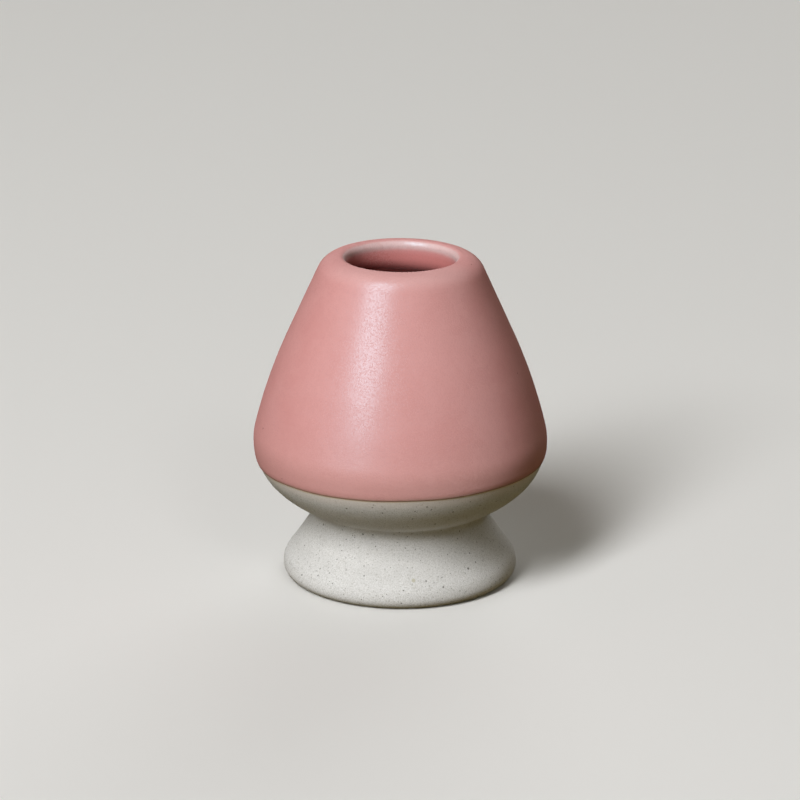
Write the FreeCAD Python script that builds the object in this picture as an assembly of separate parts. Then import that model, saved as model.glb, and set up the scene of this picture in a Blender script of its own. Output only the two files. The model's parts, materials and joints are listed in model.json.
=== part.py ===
"""Stoneware holder for a tea whisk.

A hollow bulb with a thick rolled lip stands on a flared pedestal foot. The bulb and the foot are
thrown apart and joined at the waist with slip. A pink glaze coats the bulb outside, down to a dip
line just under its widest part, and a second coat lines the inside. The rest of the clay is bare.

Everything is turned about the Z axis. The origin is on that axis, in the plane of the foot ring.
Lengths are in millimetres. A section lies in the XZ plane, as (distance from the axis, height).
"""
import FreeCAD, Part
import math
import os
from collections import namedtuple

# Sizes of the whole
overall_height = 72.0          # foot ring to the top of the lip, over the glaze
belly_diameter = 64.2          # widest part, over the glaze

# Coats of glaze
glaze_thickness = 0.2          # outer coat and lining alike
dip_line_drop = 3.7            # the outer coat ends this far below the widest part

# Bulb, outside
crest_diameter = 26.7          # the circle along the top of the lip
shoulder_round = 5.1           # outer round of the lip, over the glaze
side_standoff = 1.8            # how far the straight side passes outside the belly's round
side_round = 120.0             # long bow that leads the straight side into the belly
belly_round = 13.3             # round of the belly, over the glaze
underside_round = 22.9         # bow of the bare underside
underside_drop = 1.85          # from the belly's round down to the waist

# Bulb, inside
bulb_wall = 3.4                # clay wall
lip_round = 1.4                # inner round of the lip, over the lining
throat_length = 2.4            # straight stretch of the mouth
throat_round = 4.0             # round under the throat
throat_hollow = 12.0           # hollow round that leads from there into the wall
floor_extra = 0.5              # how much thicker the floor is than the wall
floor_corner = 6.0             # round between the wall and the floor, over the lining

# Waist and luting
waist_diameter = 36.3          # where the bulb meets the foot
slip_thickness = 0.3           # layer of slip between them
waist_fillet = 2.0             # slip smoothed out around the waist
hidden_fillet = 1.2            # slip smoothed out under the bulb's floor

# Foot
foot_height = 15.5             # foot ring to the flat bottom of the bulb
foot_diameter = 51.4           # widest part of the foot
foot_side_hollow = 75.0        # slight hollow of the flared side
toe_round = 4.9                # round above the widest part of the foot
toe_height = 2.3               # height of that widest part, and the round below it
ring_width = 3.9               # flat ring that the foot stands on
ring_inner_round = 0.8         # softened inner edge of the ring
foot_rim_width = 3.9           # rim that carries the bulb

# Ends of lines that lie closer together than this are the same point
same_point = 1e-6

# A round of the section. "swell" is 1 where the surface swells away from the axis, with its centre
# on the inner side, and -1 where its centre is on the outer side.
Round = namedtuple("Round", "centre radius first last swell")


def add(point, direction, distance):
    """The point that lies a distance along a direction."""
    return point[0] + direction[0] * distance, point[1] + direction[1] * distance


def gap(start, end):
    """Distance between two points of the section."""
    return math.hypot(end[0] - start[0], end[1] - start[1])


def heading(start, end):
    """Angle of the way from one point to another."""
    return math.atan2(end[1] - start[1], end[0] - start[0])


def way(angle):
    """Unit direction at an angle."""
    return math.cos(angle), math.sin(angle)


def spot(centre, radius, angle):
    """The point of a circle at an angle."""
    return add(centre, way(angle), radius)


def make_round(centre, radius, first, last, swell):
    """A round that goes the short way from its first angle to its last."""
    turn = math.remainder(last - first, math.tau)
    return Round(centre, radius, first, first + turn, swell)


def meeting(centre_a, radius_a, centre_b, radius_b, hand):
    """Where two circles meet, on the left (1) or the right (-1) of the way from a to b."""
    apart = gap(centre_a, centre_b)
    along = (radius_a ** 2 - radius_b ** 2 + apart ** 2) / (2 * apart)
    aside = math.sqrt(radius_a ** 2 - along ** 2)
    course = heading(centre_a, centre_b)
    abreast = add(centre_a, way(course), along)
    return add(abreast, way(course + math.pi / 2), hand * aside)


def shifted(rounds, outward):
    """The same rounds moved outward along their own normals, which keeps them tangent."""
    return [part._replace(radius=part.radius + part.swell * outward) for part in rounds]


def backward(rounds):
    """The same rounds, gone through the other way."""
    return [part._replace(first=part.last, last=part.first) for part in reversed(rounds)]


def place(point):
    """A point of the section as a vector."""
    return FreeCAD.Vector(point[0], 0, point[1])


def section(*parts):
    """A closed face through points and rounds, joined by straight lines where they lie apart."""
    edges = []
    here = None
    first = None

    def line_to(point):
        nonlocal here
        if here is not None and gap(here, point) > same_point:
            edges.append(Part.makeLine(place(here), place(point)))
        here = point

    for part in parts:
        if isinstance(part, Round):
            ends = [spot(part.centre, part.radius, angle) for angle in (part.first, part.last)]
            middle = spot(part.centre, part.radius, (part.first + part.last) / 2)
            line_to(ends[0])
            edges.append(Part.Arc(place(ends[0]), place(middle), place(ends[1])).toShape())
            here = ends[1]
            first = first or ends[0]
        else:
            line_to(part)
            first = first or part
    line_to(first)
    return Part.Face(Part.Wire(edges))


def turned(face):
    """The solid that a section makes when it is turned about the axis."""
    axis = FreeCAD.Vector(0, 0, 1)
    solid = face.revolve(FreeCAD.Vector(0, 0, 0), axis, 360)
    return solid if solid.Volume > 0 else solid.reversed()


# Places that several pieces share
crest_radius = crest_diameter / 2
belly_radius = belly_diameter / 2
waist = (waist_diameter / 2, foot_height)
shoulder_centre = (crest_radius, overall_height - shoulder_round)
lip_centre = (crest_radius, overall_height - lip_round)
belly_centre = (belly_radius - belly_round, foot_height + underside_drop + belly_round)


def outer_skin():
    """Rounds of the bulb's outside over the glaze, from the waist up to the lip.

    The last value is the angle of the straight side's normal.
    """
    standoff_round = belly_round + side_standoff
    reach = gap(belly_centre, shoulder_centre)
    lean = math.acos((standoff_round - shoulder_round) / reach)
    side_normal = heading(belly_centre, shoulder_centre) - lean

    # The long bow touches the straight side and the belly's round.
    bow_gap = side_round - belly_round
    along = math.sqrt(bow_gap ** 2 - (side_round - standoff_round) ** 2)
    abreast = add(belly_centre, way(side_normal), standoff_round - side_round)
    bow_centre = add(abreast, way(side_normal + math.pi / 2), along)
    bow_start = heading(bow_centre, belly_centre)

    # The underside is bare clay, so its own round touches the belly's clay and runs to the waist.
    clay_belly = belly_round - glaze_thickness
    under_centre = meeting(belly_centre, underside_round - clay_belly, waist, underside_round, -1)
    under_end = heading(under_centre, belly_centre)

    rounds = [
        make_round(under_centre, underside_round + glaze_thickness,
                   heading(under_centre, waist), under_end, 1),
        make_round(belly_centre, belly_round, under_end, bow_start, 1),
        make_round(bow_centre, side_round, bow_start, side_normal, 1),
        make_round(shoulder_centre, shoulder_round, side_normal, math.pi / 2, 1),
    ]
    return rounds, side_normal


def inner_skin(skin, side_normal):
    """Rounds of the inside over the lining, from the floor up to the lip."""
    depth = glaze_thickness + bulb_wall + glaze_thickness
    under, belly, bow = shifted(skin[:3], -depth)

    # The floor is flat and runs into the wall by its corner round.
    floor_height = foot_height + bulb_wall + floor_extra + glaze_thickness
    corner_height = floor_height + floor_corner
    corner_gap = under.radius - floor_corner
    rise = corner_height - under.centre[1]
    corner_centre = (under.centre[0] + math.sqrt(corner_gap ** 2 - rise ** 2), corner_height)
    corner_end = heading(under.centre, corner_centre)

    # Under the throat the wall swells inward, and a hollow round leads it into the straight side.
    throat_radius = crest_radius - lip_round
    throat_end = overall_height - lip_round - throat_length
    throat_centre = (throat_radius + throat_round, throat_end)
    normal = way(side_normal)
    wall_line = sum(a * b for a, b in zip(shoulder_centre, normal)) + shoulder_round - depth
    beyond = sum(a * b for a, b in zip(throat_centre, normal)) - wall_line
    spread = throat_round + throat_hollow
    along = math.sqrt(spread ** 2 - (beyond + throat_hollow) ** 2)
    abreast = add(throat_centre, normal, -beyond - throat_hollow)
    hollow_centre = add(abreast, way(side_normal - math.pi / 2), along)
    hollow_end = heading(hollow_centre, throat_centre)

    return [
        make_round(corner_centre, floor_corner, -math.pi / 2, corner_end, 1),
        under._replace(first=corner_end),
        belly,
        bow,
        make_round(hollow_centre, throat_hollow, side_normal, hollow_end, 1),
        make_round(throat_centre, throat_round, hollow_end + math.pi, math.pi, -1),
        make_round(lip_centre, lip_round, math.pi, math.pi / 2, -1),
    ]


def foot_side():
    """The hollow flank of the foot, from the waist down, and the round of its toe."""
    toe_centre = (foot_diameter / 2 - toe_round, toe_height)
    reach = toe_round + foot_side_hollow
    flank_centre = meeting(toe_centre, reach, waist, foot_side_hollow, -1)
    flank_end = heading(flank_centre, toe_centre)
    flank = make_round(flank_centre, foot_side_hollow,
                       heading(flank_centre, waist), flank_end, -1)
    toe = make_round(toe_centre, toe_round, flank_end + math.pi, 0, 1)
    return flank, toe


def foot_inside():
    """The inner corner of the foot's rim, and the softened inner edge of its ring.

    The foot is trimmed to a straight cone between them, so the edge starts at the cone's normal.
    """
    rim = (waist[0] - foot_rim_width, foot_height - slip_thickness)
    ring_inner = foot_diameter / 2 - toe_height - ring_width
    edge_centre = (ring_inner + ring_inner_round, ring_inner_round)
    swing = math.acos(ring_inner_round / gap(edge_centre, rim))
    cone_normal = heading(edge_centre, rim) + swing
    return rim, make_round(edge_centre, ring_inner_round, cone_normal, -math.pi / 2, -1)


def flank_angle(flank, height):
    """Where the foot's flank passes a height, as an angle about the flank's centre."""
    return math.pi - math.asin((height - flank.centre[1]) / flank.radius)


def stoneware_bulb(skin, lining):
    """The clay shell: flat bottom, outside, lip and inside."""
    clay_out = shifted(skin, -glaze_thickness)
    clay_in = backward(shifted(lining, glaze_thickness))
    floor_top = foot_height + bulb_wall + floor_extra
    return turned(section((0, foot_height), waist, *clay_out, *clay_in, (0, floor_top)))


def stoneware_foot(flank, toe):
    """The pedestal: flared flank, toe, flat ring and the trimmed cone inside."""
    rim, edge = foot_inside()
    side = make_round(flank.centre, flank.radius, flank_angle(flank, rim[1]), flank.last, -1)
    under_toe_centre = (foot_diameter / 2 - toe_height, toe_height)
    under_toe = make_round(under_toe_centre, toe_height, 0, -math.pi / 2, 1)
    return turned(section(rim, side, toe, under_toe, *backward([edge])))


def luting_slip(skin, flank):
    """The slip: a thin layer on the foot's rim, with a hollow bead outside and one inside."""
    under = shifted(skin, -glaze_thickness)[0]
    rim, edge = foot_inside()

    bead_centre = meeting(under.centre, under.radius + waist_fillet,
                          flank.centre, flank.radius - waist_fillet, -1)
    on_under = heading(under.centre, bead_centre)
    on_flank = heading(flank.centre, bead_centre)
    rim_angle = flank_angle(flank, rim[1])
    along_flank = make_round(flank.centre, flank.radius, rim_angle, on_flank, -1)
    bead = make_round(bead_centre, waist_fillet, on_flank, on_under + math.pi, -1)
    along_under = make_round(under.centre, under.radius, on_under, under.first, 1)

    # The inner bead touches the bulb's flat bottom and the cone inside the foot.
    normal = way(edge.first)
    inner_height = foot_height - hidden_fillet
    inner_radius = rim[0] + (hidden_fillet - normal[1] * (inner_height - rim[1])) / normal[0]
    inner_bead = make_round((inner_radius, inner_height), hidden_fillet,
                            math.pi / 2, edge.first + math.pi, 1)
    return turned(section(inner_bead, rim, along_flank, bead, along_under))


def outer_glaze(skin):
    """The dipped coat, whose lower edge rounds off onto the clay by a quarter turn."""
    under, belly, bow, shoulder = skin
    clay_belly = belly_round - glaze_thickness
    edge_turn = 2 * math.asin(glaze_thickness / (2 * clay_belly))
    line_angle = -math.asin(dip_line_drop / clay_belly)
    full_angle = line_angle + edge_turn
    coat = [belly._replace(first=full_angle), bow, shoulder]
    clay = shifted([belly._replace(first=line_angle), bow, shoulder], -glaze_thickness)

    # The edge is round about the point of the clay under the end of the full coat.
    root = spot(belly_centre, clay_belly, full_angle)
    edge_end = spot(belly_centre, clay_belly, line_angle)
    edge = make_round(root, glaze_thickness, full_angle, heading(root, edge_end), 1)
    return turned(section(*clay, *backward(coat), edge))


def inner_glaze(lining):
    """The poured lining, from the lip down over the wall and the floor."""
    clay = shifted(lining, glaze_thickness)
    floor_clay = foot_height + bulb_wall + floor_extra
    return turned(section((0, floor_clay), *clay, *backward(lining), (0, floor_clay + glaze_thickness)))


def main():
    """Builds each piece and writes it to its own file."""
    skin, side_normal = outer_skin()
    lining = inner_skin(skin, side_normal)
    flank, toe = foot_side()
    pieces = {
        "stoneware_bulb": stoneware_bulb(skin, lining),
        "stoneware_foot": stoneware_foot(flank, toe),
        "luting_slip": luting_slip(skin, flank),
        "outer_glaze": outer_glaze(skin),
        "inner_glaze": inner_glaze(lining),
    }
    os.makedirs("parts", exist_ok=True)
    for name, solid in pieces.items():
        solid.exportStep(f"parts/{name}.step")
        box = solid.optimalBoundingBox()
        print(f"{name}: valid {solid.isValid()}, volume {solid.Volume:.1f} mm3, "
              f"radius {box.XMax:.2f}, height {box.ZMin:.2f} to {box.ZMax:.2f}")


main()
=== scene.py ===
# %% [markdown]
# # A tea whisk holder, from its frame to a finished pot
#
# The holder is a small stoneware pot. A hollow bulb with a rolled lip stands on a flared foot. The bulb
# was dipped in pink glaze down to just under its widest part, and lined with the same glaze. Below the
# dip line the speckled clay is bare.
#
# The frame holds these pieces as exact solids. This lesson turns a fine mesh for each of them, in the
# same place, gives clay and glaze their finishes, and lights the pot as a small studio would. Lengths
# are in metres, and angles about the axis are measured from the front, growing to the right.

# %% Load the frame
import json
import math
from collections import namedtuple

import bpy
import numpy as np
from mathutils import Matrix, Vector
from mathutils.bvhtree import BVHTree


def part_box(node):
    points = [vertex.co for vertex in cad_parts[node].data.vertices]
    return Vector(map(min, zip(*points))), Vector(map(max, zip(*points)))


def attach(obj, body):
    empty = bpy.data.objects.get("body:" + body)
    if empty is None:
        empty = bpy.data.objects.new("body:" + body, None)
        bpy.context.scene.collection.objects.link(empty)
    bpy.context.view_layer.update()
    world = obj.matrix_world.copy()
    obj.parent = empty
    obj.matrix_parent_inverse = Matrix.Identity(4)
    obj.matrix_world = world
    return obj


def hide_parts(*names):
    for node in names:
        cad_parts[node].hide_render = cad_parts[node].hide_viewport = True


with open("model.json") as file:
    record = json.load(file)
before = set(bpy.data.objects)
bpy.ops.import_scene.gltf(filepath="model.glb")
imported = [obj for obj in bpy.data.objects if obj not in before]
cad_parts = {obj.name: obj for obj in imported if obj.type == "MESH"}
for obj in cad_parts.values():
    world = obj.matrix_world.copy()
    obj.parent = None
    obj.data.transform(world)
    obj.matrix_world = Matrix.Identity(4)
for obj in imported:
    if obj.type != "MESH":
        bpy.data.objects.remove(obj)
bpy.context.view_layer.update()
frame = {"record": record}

# %% [markdown]
# ## The camera comes first
#
# A pot of revolution shows its camera plainly: the ellipse of its mouth gives how far down the camera
# looks, and the way the ellipses open from the lip to the foot gives its distance. Both were worked out
# from the outline. The lens is a long one, so a wide sensor angle would be wrong even with the pot as
# large in the picture. The camera also serves later on, to carry marks from the picture to the clay.

# %% Set up the camera
picture_px = 800               # the picture is square
focal_px = 3337.3              # focal length, in pixels of the picture
sensor_width_mm = 36.0
pitch = math.radians(18.13)    # how far down the camera looks
roll = math.radians(0.22)      # the pot leans this much to the right in the picture
camera_distance = 0.7271       # along the middle of the view, to the pot's axis
aim_height = 0.0393            # where the middle of the view meets the axis
side_step = -0.00009           # the camera stands this far to the right of the axis

camera_data = bpy.data.cameras.new("camera")
camera_data.sensor_width = sensor_width_mm
camera_data.sensor_fit = "HORIZONTAL"
camera_data.lens = sensor_width_mm * focal_px / picture_px
camera = bpy.data.objects.new("camera", camera_data)
bpy.context.scene.collection.objects.link(camera)
camera_height = aim_height + camera_distance * math.sin(pitch)
stand = Vector((side_step, -camera_distance * math.cos(pitch), camera_height))
tip = Matrix.Rotation(math.pi / 2 - pitch, 4, "X") @ Matrix.Rotation(roll, 4, "Z")
camera.matrix_world = Matrix.Translation(stand) @ tip
bpy.context.scene.camera = camera
print(f"lens {camera_data.lens:.1f} mm, camera {stand.length * 1000:.0f} mm from the foot ring's middle")

# %% [markdown]
# ## Sizes
#
# What the frame can tell is asked of the frame: heights, radii and the mouth. The rounds between them
# are the ones that the solids were drawn with, because clay and glaze have to touch all over. A turned
# surface looks right only if its rounds run into each other without a kink, so every outline here is a
# chain of rounds that touch, and a straight line is only used where two of them share a normal.

# %% Take the sizes
mouth = next(mount for mount in frame["record"]["mounts"] if mount["name"] == "whisk_mouth")
lip_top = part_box("outer_glaze")[1].z
belly_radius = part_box("outer_glaze")[1].x
joint_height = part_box("stoneware_bulb")[0].z
foot_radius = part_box("stoneware_foot")[1].x
mouth_radius = mouth["dims"]["r_mm"] / 1000
throat_length = mouth["dims"]["length_mm"] / 1000
throat_end = mouth["pos_m"][2] - throat_length / 2

glaze = 0.0002                 # thickness of either coat
wall = 0.0034                  # clay wall of the bulb
floor_extra = 0.0005           # the bulb's floor is thicker than its wall by this
floor_corner = 0.0060
lip_round = lip_top - throat_end - throat_length
crest_radius = mouth_radius + lip_round
shoulder_round = 0.0051
side_standoff = 0.0018         # the straight side passes outside the belly's round by this
side_round = 0.1200
belly_round = 0.0133
underside_round = 0.0229
underside_drop = 0.00185
throat_round = 0.0040
throat_hollow = 0.0120
waist_radius = 0.01815
slip = 0.0003                  # layer of slip in the joint
waist_fillet = 0.0020
hidden_fillet = 0.0012
foot_side_hollow = 0.0750
toe_round = 0.0049
toe_height = 0.0023
ring_width = 0.0039
ring_inner_round = 0.0008
foot_rim_width = 0.0039
dip_line_drop = 0.0037         # the glaze ends this far below the widest part, on average
print(f"lip {lip_top * 1000:.1f} mm high, belly {belly_radius * 2000:.1f} mm across, "
      f"mouth {mouth_radius * 2000:.1f} mm, crest of the lip {crest_radius * 2000:.1f} mm")

# %% [markdown]
# ## Rounds as complex numbers
#
# An outline lies in a plane, so a point of it can be one complex number: distance from the axis plus i
# times the height. Then a direction is a turn of the number 1, a distance is abs(), and numpy works on
# a whole outline at once. A round also keeps how many steps its mesh takes, so that two coats that lie
# on each other are divided alike.

# %% Rounds
Round = namedtuple("Round", "centre radius first last swell steps")
longest_step = 0.0008          # between two points of an outline
largest_turn = math.radians(9)  # from one point of a round to the next
same_point_share = 0.1         # points closer than this share of the longest step become one


def way(angle):
    """The direction at an angle, as a complex number of length 1."""
    return complex(math.cos(angle), math.sin(angle))


def heading(start, end):
    """Angle of the way from one point to another."""
    return math.atan2((end - start).imag, (end - start).real)


def make_round(centre, radius, first, last, swell):
    """A round that goes the short way. Its surface swells outward (1) or is hollow (-1)."""
    sweep = math.remainder(last - first, math.tau)
    steps = math.ceil(max(radius * abs(sweep) / longest_step, abs(sweep) / largest_turn))
    return Round(centre, radius, first, first + sweep, swell, steps)


def meeting(centre_a, radius_a, centre_b, radius_b, hand):
    """Where two circles meet, on the left (1) or the right (-1) of the way from a to b."""
    apart = abs(centre_b - centre_a)
    along = (radius_a ** 2 - radius_b ** 2 + apart ** 2) / (2 * apart)
    aside = math.sqrt(radius_a ** 2 - along ** 2)
    return centre_a + way(heading(centre_a, centre_b)) * complex(along, hand * aside)


def shifted(rounds, outward):
    """The same rounds moved along their normals, which keeps them touching."""
    return [part._replace(radius=part.radius + part.swell * outward) for part in rounds]


def backward(rounds):
    """The same rounds, gone through the other way."""
    return [part._replace(first=part.last, last=part.first) for part in reversed(rounds)]


def walk(*parts):
    """Points along rounds and corners, with straight stretches divided into steps as well."""
    points = []
    for part in parts:
        if isinstance(part, Round):
            angles = np.linspace(part.first, part.last, part.steps + 1)
            run = part.centre + part.radius * np.exp(1j * angles)
        else:
            run = np.array([part])
        if points:
            gap = abs(run[0] - points[-1])
            steps = max(1, round(gap / longest_step))
            points.extend(np.linspace(points[-1], run[0], steps + 1)[1:-1])
            if gap < longest_step * same_point_share:
                run = run[1:]
        points.extend(run)
    return np.array(points)


print(f"a quarter of the belly's round takes {make_round(0, belly_round, 0, math.pi / 2, 1).steps} steps")

# %% [markdown]
# ## The bulb's skin
#
# From the waist up, the outside is five stretches: the bare underside, the round of the belly, a long
# slight bow, the straight side and the shoulder that rolls over into the lip. Only the belly and the
# shoulder are given outright. The others follow from having to touch them, which is how the eye draws
# such a pot too: two rounds first, and then the line that joins them.

# %% Outline of the skin
shoulder_centre = complex(crest_radius, lip_top - shoulder_round)
belly_centre = complex(belly_radius - belly_round, joint_height + underside_drop + belly_round)
waist = complex(waist_radius, joint_height)

standoff_round = belly_round + side_standoff
lean = math.acos((standoff_round - shoulder_round) / abs(shoulder_centre - belly_centre))
side_normal = heading(belly_centre, shoulder_centre) - lean

bow_along = math.sqrt((side_round - belly_round) ** 2 - (side_round - standoff_round) ** 2)
bow_centre = belly_centre + way(side_normal) * complex(standoff_round - side_round, bow_along)
bow_start = heading(bow_centre, belly_centre)

clay_belly = belly_round - glaze
under_centre = meeting(belly_centre, underside_round - clay_belly, waist, underside_round, -1)
under_end = heading(under_centre, belly_centre)

skin = [
    make_round(under_centre, underside_round + glaze, heading(under_centre, waist), under_end, 1),
    make_round(belly_centre, belly_round, under_end, bow_start, 1),
    make_round(bow_centre, side_round, bow_start, side_normal, 1),
    make_round(shoulder_centre, shoulder_round, side_normal, math.pi / 2, 1),
]
print(f"the straight side leans {math.degrees(side_normal):.1f} degrees from upright")

# %% [markdown]
# ## The inside
#
# The inside follows the outside at the thickness of the wall and both coats, down to a flat floor. At
# the mouth the wall swells inward to a short straight throat, which takes the whisk, and a small round
# leads back up to the crest of the lip.

# %% Outline of the lining
depth = wall + 2 * glaze
under_in, belly_in, bow_in = shifted(skin[:3], -depth)

floor_height = joint_height + wall + floor_extra + glaze
corner_rise = floor_height + floor_corner - under_centre.imag
corner_run = math.sqrt((under_in.radius - floor_corner) ** 2 - corner_rise ** 2)
corner_centre = under_centre + complex(corner_run, corner_rise)
corner_end = heading(under_centre, corner_centre)

throat_centre = complex(mouth_radius + throat_round, throat_end)
across = (throat_centre - shoulder_centre) * way(-side_normal)
beyond = across.real - shoulder_round + depth
hollow_along = math.sqrt((throat_round + throat_hollow) ** 2 - (beyond + throat_hollow) ** 2)
hollow_centre = throat_centre + way(side_normal) * complex(-beyond - throat_hollow, -hollow_along)
hollow_end = heading(hollow_centre, throat_centre)
lip_centre = complex(crest_radius, lip_top - lip_round)

lining = [
    make_round(corner_centre, floor_corner, -math.pi / 2, corner_end, 1),
    make_round(under_centre, under_in.radius, corner_end, under_in.last, 1),
    belly_in,
    bow_in,
    make_round(hollow_centre, throat_hollow, side_normal, hollow_end, 1),
    make_round(throat_centre, throat_round, hollow_end + math.pi, math.pi, -1),
    make_round(lip_centre, lip_round, math.pi, math.pi / 2, -1),
]
print(f"the floor of the bulb lies {floor_height * 1000:.1f} mm up, "
      f"and the lining's outline has {len(walk(*lining))} points")

# %% [markdown]
# ## The foot
#
# The foot's flank is very slightly hollow and runs into a full, soft toe. Below its widest part the toe
# turns under to a flat ring. Inside, such a foot is trimmed to a plain cone, which the camera never
# sees, but which a hand does.

# %% Outline of the foot
toe_centre = complex(foot_radius - toe_round, toe_height)
under_toe_centre = complex(foot_radius - toe_height, toe_height)
flank_centre = meeting(toe_centre, toe_round + foot_side_hollow, waist, foot_side_hollow, -1)
flank_end = heading(flank_centre, toe_centre)
foot_rim = complex(waist_radius - foot_rim_width, joint_height - slip)
rim_angle = math.pi - math.asin((foot_rim.imag - flank_centre.imag) / foot_side_hollow)
edge_centre = complex(foot_radius - toe_height - ring_width + ring_inner_round, ring_inner_round)
cone_normal = heading(edge_centre, foot_rim) + math.acos(ring_inner_round / abs(foot_rim - edge_centre))

flank = make_round(flank_centre, foot_side_hollow, rim_angle, flank_end, -1)
toe = make_round(toe_centre, toe_round, flank_end + math.pi, 0, 1)
under_toe = make_round(under_toe_centre, toe_height, 0, -math.pi / 2, 1)
ring_edge = make_round(edge_centre, ring_inner_round, -math.pi / 2, cone_normal, -1)
print(f"the foot's ring is {(under_toe_centre - edge_centre).real * 1000:.1f} mm wide")

# %% [markdown]
# ## Where the glaze ends
#
# The pot was dipped upside down by hand, so the line isn't quite level: it lies more than half a
# millimetre lower on the left than in the middle, and it wanders by a tenth or two. A few sine waves
# with whole numbers of turns make such a line, because they meet themselves behind the pot. The phases
# come from a seeded generator, so the line is the same each time.

# %% The dip line
dip_tilt = 0.00065             # the line's rise from the middle to the right side
dip_waves = {2: 0.00010, 3: 0.00006, 5: 0.00005, 8: 0.00005, 13: 0.00003}
chance = np.random.default_rng(1261)
dip_phases = {count: chance.uniform(0, math.tau) for count in dip_waves}
level_dip = belly_centre.imag - dip_line_drop


def dip_height(azimuth):
    """Height of the glaze's lower edge, all the way round the pot."""
    waves = sum(size * np.sin(count * azimuth + dip_phases[count]) for count, size in dip_waves.items())
    return level_dip + dip_tilt * np.sin(azimuth) + waves


print(f"the line runs from {dip_height(np.linspace(0, math.tau, 720)).min() * 1000:.2f} mm "
      f"to {dip_height(np.linspace(0, math.tau, 720)).max() * 1000:.2f} mm up")

# %% [markdown]
# ## Turning an outline
#
# Blender has a Screw modifier and a spin tool for turned things, and either would do for a pot that is
# the same all round. This one isn't: its dip line wanders. So the mesh is made by hand, as a grid whose
# columns are outlines at small steps round the axis, and each column may differ a little. Where an
# outline starts or ends on the axis, the column's point there is shared, and the quads become triangles.
# An outline that runs clockwise is turned round first, so that the faces of every piece look outward.
#
# Thrown clay is never perfectly round either. Every piece goes through the same slight pull towards the
# axis, an oval and a faint spiral left by the fingers, so that the pieces stay in touch, and nothing
# gets larger than the solids.

# %% The lathe
columns = 360                  # outlines round the pot
oval_share = 0.0020            # how much narrower the pot is across its oval
oval_azimuth = math.radians(75)
spiral_share = 0.0007          # depth of the finger marks
spiral_pitch = 0.0075          # from one mark up to the next
on_axis = 1e-9                 # closer to the axis than this counts as on it
sharp_from = math.radians(35)  # an edge that turns by more than this stays crisp


def by_hand(radius, height, azimuth):
    """The radius after the small unevenness of throwing. It only ever gets smaller."""
    oval = (1 - np.cos(2 * (azimuth - oval_azimuth))) / 2
    spiral = (1 - np.sin(math.tau * height / spiral_pitch + azimuth)) / 2
    return radius * (1 - oval_share * oval - spiral_share * spiral)


def turn(name, node, outline):
    """A closed mesh that stands for a CAD node. The outline is a function of the azimuth."""
    azimuths = np.linspace(-math.pi, math.pi, columns + 1)
    grid = np.array([outline(azimuth) for azimuth in azimuths[:-1]])

    # The sign of the area that an outline encloses tells which way round it runs.
    twice_area = (grid[0].conj() * np.roll(grid[0], -1)).imag.sum()
    if twice_area < 0:
        grid = grid[:, ::-1]
    count = grid.shape[1]
    ring = azimuths[:-1, None]
    radius = by_hand(grid.real, grid.imag, ring)
    places = np.stack([radius * np.sin(ring), -radius * np.cos(ring), grid.imag], axis=-1)

    # Points on the axis share the first column's vertex, and an outline clear of the axis is a loop.
    number = np.arange(columns * count).reshape(columns, count)
    number[:, np.abs(grid[0].real) < on_axis] = number[0, np.abs(grid[0].real) < on_axis]
    steps = count if abs(grid[0, 0].real) > on_axis else count - 1
    down = np.arange(steps)
    after = (down + 1) % count
    length = np.concatenate([[0], np.cumsum(np.abs(np.diff(np.append(grid[0], grid[0, 0]))))])
    length /= length[steps]

    faces = []
    corners = []
    for column in range(columns):
        beside = (column + 1) % columns
        quads = np.stack([number[column, down], number[beside, down],
                          number[beside, after], number[column, after]], axis=-1)
        for step, quad in enumerate(quads.tolist()):
            on_map = [(column, step), (column + 1, step), (column + 1, step + 1), (column, step + 1)]
            kept = dict(zip(quad, on_map))
            faces.append(tuple(kept))
            corners.extend((spot[0] / columns, length[spot[1]]) for spot in kept.values())

    mesh = bpy.data.meshes.new(name)
    used = np.unique(number)
    renumber = np.zeros(number.size, int)
    renumber[used] = np.arange(used.size)
    mesh.from_pydata(places.reshape(-1, 3)[used], [], [tuple(renumber[list(face)]) for face in faces])
    mesh.uv_layers.new(name="OFBake").data.foreach_set("uv", np.array(corners, np.float32).ravel())
    mesh.shade_smooth()
    mesh.set_sharp_from_angle(angle=sharp_from)
    over_line = (grid.imag - dip_height(ring)) * 1000
    mesh.attributes.new("over_line", "FLOAT", "POINT").data.foreach_set("value", over_line.ravel()[used])
    piece = bpy.data.objects.new(name, mesh)
    bpy.context.scene.collection.objects.link(piece)
    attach(piece, "root")
    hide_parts(node)
    print(f"{name}: {len(mesh.polygons)} faces, {count} points in the outline")
    return piece


# %% [markdown]
# ## The clay bulb
#
# This is the whole thrown shell, with the part that the glaze hides. A shell that stopped at the dip
# line would look the same from here, but its mesh would be no closed thing, and nothing could be
# weighed or printed from it.

# %% Turn the bulb
clay_out = shifted(skin, -glaze)
clay_in = shifted(lining, glaze)
clay_floor = floor_height - glaze
bulb_outline = walk(complex(0, joint_height), waist, *clay_out, *backward(clay_in), complex(0, clay_floor))
bulb_clay = turn("bulb_clay", "stoneware_bulb", lambda azimuth: bulb_outline)

# %% [markdown]
# ## The foot and the slip
#
# The foot was thrown apart and stuck on with slip, which the potter smoothed out round the waist. In
# the picture the waist is a soft hollow shade with no crease, so the slip has its own small piece: a
# ring with a hollow bead outside, and one that nobody sees inside.

# %% Turn the foot and the slip
foot_outline = walk(foot_rim, flank, toe, under_toe, ring_edge)
foot_clay = turn("foot_clay", "stoneware_foot", lambda azimuth: foot_outline)

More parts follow.
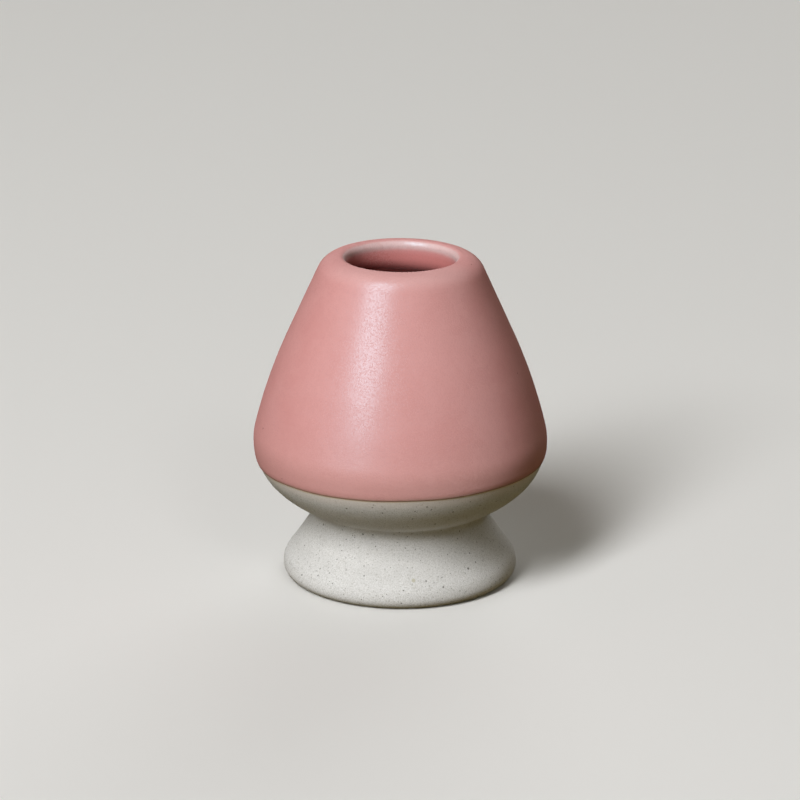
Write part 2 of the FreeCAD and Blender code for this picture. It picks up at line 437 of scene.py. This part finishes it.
under_clay = clay_out[0]
bead_centre = meeting(under_centre, under_clay.radius + waist_fillet,
                      flank_centre, foot_side_hollow - waist_fillet, -1)
on_under = heading(under_centre, bead_centre)
on_flank = heading(flank_centre, bead_centre)
inner_height = joint_height - hidden_fillet
cone_way = way(cone_normal)
from_rim = inner_height - foot_rim.imag
inner_radius = foot_rim.real + (hidden_fillet - cone_way.imag * from_rim) / cone_way.real
slip_outline = walk(
    make_round(complex(inner_radius, inner_height), hidden_fillet, math.pi / 2, cone_normal + math.pi, 1),
    foot_rim,
    make_round(flank_centre, foot_side_hollow, rim_angle, on_flank, -1),
    make_round(bead_centre, waist_fillet, on_flank, on_under + math.pi, -1),
    make_round(under_centre, under_clay.radius, on_under, under_clay.first, 1),
)
waist_slip = turn("waist_slip", "luting_slip", lambda azimuth: slip_outline)

# %% [markdown]
# ## The two coats of glaze
#
# A dipped coat is as thick as the clay is thirsty, and while it melts it draws together at its edge: it
# ends in a small round brink, with a slight swelling behind it. So the coat is the clay's own surface,
# moved out by a thickness that depends on the way to the edge. The lining has no edge to show, because
# the two meet on the crest of the lip.

# %% Turn the coats
brink = 0.00035                # width of the round at the edge
edge_steps = 14                # extra points of the outline, most of them close to the edge
crowding = 1.7                 # how much they crowd there
swelling_share = 0.25          # how much thicker the coat gets behind it
swelling_at = 0.0012           # and how far from the edge that is


def coat_outline(azimuth):
    """The dipped coat at one azimuth: its clay side, and its glossy side down to the brink."""
    _, belly, bow, shoulder = clay_out
    line = math.asin((dip_height(azimuth) - belly_centre.imag) / clay_belly)
    shares = np.linspace(0, 1, belly.steps + edge_steps + 1) ** crowding
    belly_turns = np.exp(1j * (line + shares * (bow_start - line)))
    bow_turns = np.exp(1j * np.linspace(bow_start, side_normal, bow.steps + 1))
    shoulder_turns = np.exp(1j * np.linspace(side_normal, math.pi / 2, shoulder.steps + 1))
    clay_side = np.concatenate([belly_centre + clay_belly * belly_turns, walk(bow, shoulder)[1:]])
    normals = np.concatenate([belly_turns, bow_turns[1:]])
    straight = len(clay_side) - len(normals) - len(shoulder_turns)
    normals = np.concatenate([normals, np.full(straight, way(side_normal)), shoulder_turns])
    from_edge = np.concatenate([[0], np.cumsum(np.abs(np.diff(clay_side)))])
    rise = np.sqrt(1 - (1 - np.minimum(from_edge / brink, 1)) ** 2)
    swelling = swelling_share * np.exp(-2 * (from_edge / swelling_at - 1) ** 2)
    gloss_side = clay_side + normals * glaze * rise * (1 + swelling)
    return np.concatenate([clay_side, gloss_side[:0:-1]])


pink_coat = turn("pink_coat", "outer_glaze", coat_outline)
lining_outline = walk(complex(0, clay_floor), *clay_in, *backward(lining), complex(0, floor_height))
pink_lining = turn("pink_lining", "inner_glaze", lambda azimuth: lining_outline)

# %% [markdown]
# ## Shader maths that reads like maths
#
# The finishes are built from shader nodes. Wiring them one by one takes many lines and hides the idea,
# so a small class wraps a socket: adding or multiplying two of them adds the Math node that does it.
# Colours don't go through Math nodes, which would turn them grey, but through Mix. Whatever else is
# needed comes from the one method that adds a node.

# %% Wires and finishes
class Wire:
    """The output of a shader node, which can be calculated with."""

    def __init__(self, finish, node, output):
        self.finish = finish
        self.node = node
        self.socket = node.outputs[output]

    def beside(self, output):
        """Another output of the same node."""
        return Wire(self.finish, self.node, output)

    def maths(self, operation, *values):
        sockets = dict(enumerate(values))
        return self.finish.add("ShaderNodeMath", {"operation": operation}, sockets)

    def __add__(self, other):
        return self.maths("ADD", self, other)

    def __radd__(self, other):
        return self.maths("ADD", other, self)

    def __sub__(self, other):
        return self.maths("SUBTRACT", self, other)

    def __rsub__(self, other):
        return self.maths("SUBTRACT", other, self)

    def __mul__(self, other):
        return self.maths("MULTIPLY", self, other)

    def __rmul__(self, other):
        return self.maths("MULTIPLY", other, self)

    def __pow__(self, other):
        return self.maths("POWER", self, other)

    def __or__(self, other):
        """The larger of two masks: what either of them covers."""
        return self.maths("MAXIMUM", self, other)


class Finish:
    """A material, with the surface's own coordinates in millimetres."""

    def __init__(self, name):
        self.material = bpy.data.materials.new(name)
        self.material.use_nodes = True
        self.tree = self.material.node_tree
        self.shader = self.tree.nodes["Principled BSDF"]
        from_origin = self.add("ShaderNodeTexCoord", output="Object")
        self.place = self.vector("MULTIPLY", from_origin, (1000, 1000, 1000))

    def add(self, kind, settings=None, sockets=None, output=0):
        """Add a node of any kind. Its settings are set first, then the values or links of its sockets."""
        node = self.tree.nodes.new(kind)
        for name, value in (settings or {}).items():
            setattr(node, name, value)
        for name, value in (sockets or {}).items():
            self.join(node, name, value)
        return Wire(self, node, output)

    def join(self, node, name, value):
        """Give a socket a link if the value is a wire, and otherwise the value itself."""
        named = {socket.identifier: socket for socket in node.inputs}
        socket = named[name] if name in named else node.inputs[name]
        if isinstance(value, Wire):
            self.tree.links.new(value.socket, socket)
        elif socket.type == "RGBA":
            socket.default_value = (*value, 1)
        else:
            socket.default_value = value

    def surface(self, **sockets):
        """Set sockets of the Principled shader, with underscores for the spaces in their names."""
        for name, value in sockets.items():
            self.join(self.shader, name.replace("_", " "), value)

    def fade_gloss(self, first, last, **sockets):
        """Let a matt shader take over where the surface turns away, as fine grain shades itself there."""
        matt = self.add("ShaderNodeBsdfPrincipled", None, {"Specular IOR Level": 0.0})
        for name, value in sockets.items():
            self.join(matt.node, name.replace("_", " "), value)
        facing = self.add("ShaderNodeLayerWeight", None, {"Blend": 0.5}, "Facing")
        both = self.add("ShaderNodeMixShader", None, {0: self.step(facing, first, last)})
        self.tree.links.new(self.shader.outputs[0], both.node.inputs[1])
        self.tree.links.new(matt.socket, both.node.inputs[2])
        self.tree.links.new(both.socket, self.tree.nodes["Material Output"].inputs["Surface"])

    def vector(self, operation, *values, output=0):
        sockets = dict(enumerate(values))
        return self.add("ShaderNodeVectorMath", {"operation": operation}, sockets, output)

    def mix(self, factor, colour_a, colour_b):
        sockets = {"Factor_Float": factor, "A_Color": colour_a, "B_Color": colour_b}
        return self.add("ShaderNodeMix", {"data_type": "RGBA"}, sockets, "Result")

    def step(self, value, low, high):
        """A mask that rises smoothly from 0 to 1 as the value goes from low to high."""
        sockets = {"Value": value, "From Min": low, "From Max": high}
        return self.add("ShaderNodeMapRange", {"interpolation_type": "SMOOTHSTEP"}, sockets)

    def noise(self, size, detail=2):
        """Cloudy noise from 0 to 1, with blots of about the given size in millimetres."""
        sockets = {"Vector": self.place, "Scale": 1 / size, "Detail": detail}
        return self.add("ShaderNodeTexNoise", None, sockets)

    def bump(self, height):
        """Normals for a height in millimetres."""
        return self.add("ShaderNodeBump", None, {"Height": height, "Distance": 0.001, "Strength": 1.0})

    def seen(self):
        """1 where something is looked at, also in a mirror or through glass, and 0 where it lights."""
        ray = self.add("ShaderNodeLightPath", output="Is Camera Ray")
        return ray | ray.beside("Is Glossy Ray") | ray.beside("Is Transmission Ray")


trial = Finish("trial")
trial.surface(Roughness=0.5 + 0.1 * trial.noise(10))
print("a product and a sum bring a finish to", len(trial.tree.nodes), "nodes")
bpy.data.materials.remove(trial.material)

# %% [markdown]
# ## Marks carried from the picture
#
# Iron specks in the clay lie where chance put them, and a few of them are large enough to know this pot
# by. Each of those is named by its pixel. A ray from the camera through that pixel meets the clay at
# one place, and the speck is painted there, so it stays on the pot from any side.

# %% Carry marks to the surface
shapes = bpy.context.evaluated_depsgraph_get()
targets = [BVHTree.FromObject(piece, shapes) for piece in (pink_coat, bulb_clay, waist_slip, foot_clay)]


def carried(pixel):
    """Where the pixel's ray first meets the pot, in millimetres."""
    middle = picture_px / 2
    ray = Vector((pixel[0] + 0.5 - middle, middle - pixel[1] - 0.5, -focal_px))
    ray = camera.matrix_world.to_3x3() @ ray.normalized()
    hits = [target.ray_cast(camera.matrix_world.translation, ray) for target in targets]
    nearest = min((hit for hit in hits if hit[0]), key=lambda hit: hit[3])
    return nearest[0] * 1000


# The pixel of each speck, and its radius in millimetres.
clay_specks = {
    (467.7, 568): 0.26, (323, 524): 0.22, (434.6, 523.6): 0.26, (375, 546): 0.15, (425.6, 580.6): 0.19,
    (403, 590): 0.16, (401, 603): 0.14, (469, 552.6): 0.17, (475, 561.6): 0.17, (447, 554): 0.13,
    (407, 536): 0.15, (332, 583): 0.14, (304, 545): 0.16, (372, 507): 0.20, (346, 508): 0.22,
    (397, 542): 0.10, (415, 549): 0.11, (361, 599): 0.12, (441, 577): 0.10, (390, 567): 0.10,
    (339.4, 544.6): 0.14, (341, 550): 0.13, (319.6, 568): 0.13, (329, 572.4): 0.13, (405, 547.6): 0.13,
    (457, 538): 0.13, (382, 596): 0.12, (386, 594): 0.10, (411.6, 567.4): 0.11, (407, 567.4): 0.10,
    (450, 573): 0.10, (442, 576.6): 0.10, (373, 504.6): 0.20, (382, 512.6): 0.18, (412, 518.6): 0.18,
    (426.5, 506.5): 0.24, (431, 509): 0.16, (414.5, 511): 0.16, (352, 535): 0.13, (354, 537): 0.10,
    (296, 543.5): 0.12, (329, 581): 0.10, (450, 603): 0.12, (343, 594): 0.10, (420, 560): 0.10,
}
tan_spot = {(413, 580): 0.42}
glaze_pits = {(262.5, 428): 0.20, (471, 264): 0.15, (346, 264.3): 0.12, (459.4, 261.5): 0.10}
largest = max(clay_specks, key=clay_specks.get)
print(f"the largest speck lies {carried(largest).z:.1f} mm up the foot")

# %% [markdown]
# ## Bare stoneware
#
# The clay is off-white, a little grey and a little warm, quite matt, and peppered with iron. The finest
# pepper is everywhere, coarser grains are rarer, and no two are alike. Voronoi cells give one grain
# each, and a cell's own random colour decides whether its grain shows. Seen close, the surface isn't
# smooth either: fine sand stands out of it, and here and there a grain has dropped out and left a pit.
#
# The toe is painted a little paler, as painted light on its lower edge. For three millimetres below the
# dip line the clay is warmer and paler, and right beside the line there is a tan line.

# %% Colours of the clay, and where they lie
clay_grey = (0.745, 0.742, 0.735)     # linear red, green and blue, as all colours here
clay_pale = (0.81, 0.807, 0.80)
painted_light_toe = (0.92, 0.92, 0.92)
sand_shade = (0.52, 0.515, 0.49)
pit_shade = (0.52, 0.51, 0.47)
fine_iron = (0.28, 0.265, 0.23)
middling_iron = (0.18, 0.17, 0.15)
coarse_iron = (0.09, 0.085, 0.07)
tan_grain = (0.52, 0.50, 0.38)
warmed_clay = (0.83, 0.73, 0.66)
tan_line = (0.82, 0.645, 0.44)

toe_light_from_mm = 8.0          # the toe's painted light starts this far above the ring
toe_light_full_mm = 1.5
warmed_from_mm = -3.2          # and these lie below the dip line
warmed_full_mm = -0.2
tan_from_mm = -0.50
tan_full_mm = -0.10
print("the clay lies between", clay_grey, "and", clay_pale)

# %% Stoneware
def spots(finish, marks, soft=0.05):
    """A mask of round spots at pixels of the picture."""
    mask = None
    for pixel, radius in marks.items():
        away = finish.vector("DISTANCE", finish.place, tuple(carried(pixel)), output="Value")
        spot = finish.step(away, radius + soft, radius - soft)
        mask = mask | spot if mask else spot
    return mask


def pepper(finish, cell, radius, present, soft=0.04):
    """A mask of grains, one to a cell, for the share of cells that is present. Lengths are in mm."""
    sockets = {"Vector": finish.place, "Scale": 1 / cell}
    away = finish.add("ShaderNodeTexVoronoi", None, sockets, "Distance")
    dice = finish.add("ShaderNodeSeparateColor", None, {"Color": away.beside("Color")})
    here = finish.step(dice, 1 - present, 1.02 - present)
    size = radius * (0.6 + 0.8 * dice.beside("Green"))
    return here * finish.step(size - away * cell, -soft, soft)


def stoneware(name, smoothed):
    """Bare clay. Fingers and a wet sponge smooth it by the given share."""
    finish = Finish(name)
    clouds = finish.noise(14, 3)
    blots = finish.noise(2.2, 3)
    sand = finish.noise(0.24, 1)
    mottle = finish.step(clouds * 0.6 + blots * 0.4, 0.35, 0.65)
    height = finish.add("ShaderNodeSeparateXYZ", None, {0: finish.place}, "Z")
    body = finish.mix(mottle, clay_grey, clay_pale)
    # Painted light: the toe is painted paler towards the ring, where its lower edge is lit.
    body = finish.mix(finish.step(height, toe_light_from_mm, toe_light_full_mm) * 0.9, body, painted_light_toe)
    body = finish.mix(finish.step(sand, 0.25, 0.75) * 0.6, body, sand_shade)
    fine = pepper(finish, 0.50, 0.13, 0.7)
    middling = pepper(finish, 0.95, 0.16, 0.45)
    coarse = pepper(finish, 1.9, 0.18, 0.30) | spots(finish, clay_specks)
    pits = pepper(finish, 1.7, 0.26, 0.3)
    body = finish.mix(fine * 0.28, body, fine_iron)
    body = finish.mix(pits * 0.25, body, pit_shade)
    body = finish.mix(middling * 0.38, body, middling_iron)
    body = finish.mix(coarse * 0.75, body, coarse_iron)
    body = finish.mix(spots(finish, tan_spot, 0.12) * 0.75, body, tan_grain)
    over = finish.add("ShaderNodeAttribute", {"attribute_name": "over_line"}, None, "Fac")
    # Below the dip line the clay is warmer and paler for three millimetres.
    body = finish.mix(finish.step(over, warmed_from_mm, warmed_full_mm) * 0.6, body, warmed_clay)
    flash = finish.step(over, tan_from_mm, tan_full_mm) * (0.35 + 0.6 * finish.noise(1.3))
    body = finish.mix(flash, body, tan_line)
    rough = (1 - smoothed) * (sand * 0.035 + finish.noise(1.2) * 0.012)
    finish.surface(Base_Color=body, Roughness=0.86 + 0.1 * clouds, Specular_IOR_Level=0.1,
                   Normal=finish.bump(rough - pits * 0.03))
    return finish.material


bare_clay = stoneware("bare stoneware", 0.0)
wiped_slip = stoneware("wiped slip", 0.4)
for piece, material in ((bulb_clay, bare_clay), (foot_clay, bare_clay), (waist_slip, wiped_slip)):
    piece.data.materials.append(material)
print("stoneware has", len(bare_clay.node_tree.nodes), "nodes")

# %% [markdown]
# ## Pink glaze
#
# It is an opaque satin glaze, pink from a stain. A fine eggshell grain and a great many pinholes break
# the highlight of the light box into glitter. The grain is a bump, as it is a hundredth of a millimetre
# deep. A pinhole shows in the gloss, in the bump and, very faintly, as painted shade in the colour.
# Otherwise the colour varies only slowly, because stain is ground fine.
#
# Where the glaze runs thin it shows the clay through. It is paler over the front of the lip, and pale and
# greyish along the lip's inner edge. In the last half millimetre above the dip line it is brown: a thin
# stained edge, with painted shade under the rim of the coat. Under the throat the lining is painted dark,
# as painted shade of the lip in the mouth, and more so on the left.
#
# Fine grain shades itself where a surface turns away, which a bump can't do. There a matt shader takes
# over from the glossy one.

# %% Colours of the glaze
deeper_pink = (0.70, 0.325, 0.316)
lighter_pink = (0.735, 0.362, 0.355)
low_pink = (0.695, 0.36, 0.34)        # on the lower part of the coat
poured_pink = (0.66, 0.245, 0.235)
painted_mouth_shade = (0.16, 0.024, 0.021)     # painted shade in the lining under the throat
pale_lip = (0.74, 0.52, 0.51)
thin_edge = (0.80, 0.66, 0.66)        # along the lip's inner edge
edge_brown_and_shade = (0.40, 0.245, 0.18)    # at the dip line: a stained edge, and painted shade under the coat's rim
pit_red = (0.27, 0.09, 0.08)
pinhole_shade = (0.32, 0.13, 0.12)
print("the glaze lies between", deeper_pink, "and", lighter_pink)

# %% Glaze
def satin_pink(name):
    """The glaze, which is the same on both coats, so that their seam on the lip doesn't show."""
    finish = Finish(name)
    clouds = finish.noise(9, 3)
    blots = finish.noise(1.3)
    mottle = finish.step(clouds * 0.7 + blots * 0.3, 0.25, 0.75)
    colour = finish.mix(mottle, deeper_pink, lighter_pink)

    # Places on the pot, in millimetres. To the right and towards the back count as more.
    right = finish.add("ShaderNodeSeparateXYZ", None, {0: finish.place})
    back = right.beside("Y")
    under_lip = lip_top * 1000 - right.beside("Z")
    inside_crest = crest_radius * 1000 - (right * right + back * back) ** 0.5
    over = finish.add("ShaderNodeAttribute", {"attribute_name": "over_line"}, None, "Fac")

    colour = finish.mix(finish.step(over, 15, 1) * 0.5, colour, low_pink)
    poured = finish.step(inside_crest, -0.05, 0.75) * finish.step(under_lip, 1.2, 3.5)
    colour = finish.mix(poured, colour, poured_pink)
    # Painted shade in the lining under the throat: it reaches higher on the left, where the lip's shadow
    # falls, and fades lower down.
    deep = finish.step(under_lip - 0.34 * right, 4.2, 10.0) * (1 - 0.7 * finish.step(under_lip, 12, 24))
    colour = finish.mix(poured * deep, colour, painted_mouth_shade)
    paler = finish.step(under_lip, 3.5, 0.5) * (0.1 + 0.2 * finish.step(back, -5, -12))
    colour = finish.mix(paler, colour, pale_lip)
    thin = finish.step(under_lip, 2.4, 1.3) * finish.step(under_lip - 0.4 * blots, -0.15, 0.25)
    thin = thin * finish.step(inside_crest, 0.05, 0.55)
    colour = finish.mix(thin * (0.40 + 0.4 * blots), colour, thin_edge)

    # Partly painted shade: the brown line is the coat's stained edge and the shade under its rim.
    rim_brown_and_shade = finish.step(over + 0.3 * blots, 1.0, 0.25)
    colour = finish.mix(rim_brown_and_shade * 0.7, colour, edge_brown_and_shade)
    pits = pepper(finish, 4.2, 0.14, 0.08) | spots(finish, glaze_pits)
    colour = finish.mix(pits * 0.75, colour, pit_red)
    pinholes = pepper(finish, 0.36, 0.15, 0.85)
    # Painted shade: each pinhole is painted a trace darker.
    colour = finish.mix(pinholes * 0.07, colour, pinhole_shade)

    eggshell = finish.noise(0.25, 0) * 0.010 + finish.noise(1.5, 1) * 0.004
    grain = finish.bump(eggshell - pinholes * 0.006 - pits * 0.05)
    rough = 0.25 + 0.05 * clouds + 0.2 * pinholes
    finish.surface(Base_Color=colour, Roughness=rough, IOR=1.6, Normal=grain)
    finish.fade_gloss(0.10, 0.48, Base_Color=colour, Roughness=0.6, Normal=grain)
    return finish.material


for piece, name in ((pink_coat, "satin pink, dipped"), (pink_lining, "satin pink, poured")):
    piece.data.materials.append(satin_pink(name))
    print(name, "has", len(piece.data.materials[0].node_tree.nodes), "nodes")

# %% [markdown]
# ## Light
#
# A tall light box stands to the left of the camera and above it. The highlight gives it away: its place
# on the bulb gives the direction, and its width and its length give the size of the box. The matt parts
# agree: of lamps in many places, tried one by one, the mixture that comes nearest to the picture is one
# lamp at the middle of that box and a weak one on the other side.
#
# So the box is made of two lamps. Its face is seen in the glaze and lights nothing else. It is poor in
# red, because a picture holds back the channel that is nearly full, and pink under a highlight gains less
# red than green and blue. A dim glow beside it softens the highlight's lower left. The light itself comes
# from a smaller lamp, as the shade under the belly has a sharper edge than the whole face would leave.
# Two weak cards open the shade on the right and under the belly, and a lamp behind keeps the far side
# readable without touching what the front shows.

# %% Set up the light
scene = bpy.context.scene
scene.view_settings.view_transform = "Standard"
lamp_distance = 3.0
poor_in_red = (0.48, 1.0, 1.18)
box_lean = math.radians(8)     # seen from behind the box, its top leans this far to the left


def light_box(name, azimuth, rise, width, length, power):
    """A flat lamp that looks at the pot. Angles are in degrees, its face in metres, its power in watts."""
    azimuth = math.radians(azimuth)
    rise = math.radians(rise)
    data = bpy.data.lights.new(name, "AREA")
    data.shape = "RECTANGLE"
    data.size = width
    data.size_y = length
    data.energy = power
    lamp = bpy.data.objects.new(name, data)
    scene.collection.objects.link(lamp)
    level = math.cos(rise)
    towards = Vector((math.sin(azimuth) * level, -math.cos(azimuth) * level, math.sin(rise)))
    lamp.location = Vector((0, 0, aim_height)) + towards * lamp_distance
    lamp.rotation_euler = towards.to_track_quat("Z", "Y").to_euler()
    lamp.visible_camera = False
    return lamp


box_face = light_box("face of the box", azimuth=-36.5, rise=44, width=1.65, length=3.4, power=76)
box_glow = light_box("glow beside the box", azimuth=-43, rise=15, width=2.0, length=1.6, power=8)
for lamp in (box_face, box_glow):
    lamp.data.shape = "ELLIPSE"
    lamp.data.color = poor_in_red
    lamp.visible_diffuse = False
box_face.rotation_euler.rotate_axis("Z", box_lean)

key = light_box("light of the box", azimuth=-33, rise=42, width=0.8, length=1.8, power=86)
fill = light_box("fill card", azimuth=24, rise=36.5, width=0.7, length=0.7, power=5.8)
low_card = light_box("low card", azimuth=8, rise=14, width=1.4, length=0.5, power=1.7)
behind = light_box("back lamp", azimuth=165, rise=20, width=2.0, length=1.0, power=27)
for lamp in (key, fill, low_card, behind):
    lamp.visible_glossy = False
print("lamps:", [lamp.name for lamp in scene.objects if lamp.type == "LIGHT"])

# %% [markdown]
# ## The floor and the surroundings
#
# Both are pale to look at, and in a reflection. For the light that they throw back at the pot they are
# much darker and slightly warm, because a pale floor would fill the shade under the belly, and that
# shade is a good part of how the shape reads. Out of the picture the floor fades into the surroundings,
# so that a low camera sees no dark rim on the horizon, where the lamps don't reach.

# %% Set up the floor and the surroundings
seen_floor = (0.86, 0.86, 0.85)
bounced_floor = (0.115, 0.083, 0.018)
seen_around = (0.80, 0.80, 0.79)
bounced_around = (0.048, 0.036, 0.013)
half_side = 6.0                # of the square floor
fade_from_mm = 750             # from the pot, just out of the picture
fade_to_mm = 1700


class Surroundings(Finish):
    """The world round the pot, wired in the same way as a finish."""

    def __init__(self, name):
        self.world = bpy.data.worlds.new(name)
        self.world.use_nodes = True
        self.tree = self.world.node_tree
        self.shader = self.tree.nodes["Background"]


around = Surroundings("surroundings")
around.surface(Color=around.mix(around.seen(), bounced_around, seen_around))
scene.world = around.world

floor_corners = [(half_side * x, half_side * y, 0) for x, y in ((-1, -1), (1, -1), (1, 1), (-1, 1))]
floor_mesh = bpy.data.meshes.new("floor")
floor_mesh.from_pydata(floor_corners, [], [(0, 1, 2, 3)])
floor = bpy.data.objects.new("floor", floor_mesh)
scene.collection.objects.link(floor)
ground = Finish("floor")
seen = ground.seen()
away = ground.vector("LENGTH", ground.place, output="Value")
faded = seen * ground.step(away, fade_from_mm, fade_to_mm)
ground.surface(Base_Color=ground.mix(seen, bounced_floor, seen_floor), Roughness=0.9,
               Specular_IOR_Level=0.0, Alpha=1 - faded)
floor_mesh.materials.append(ground.material)
print(f"the floor is {2 * half_side:.0f} m wide and starts to fade {fade_from_mm} mm from the pot")
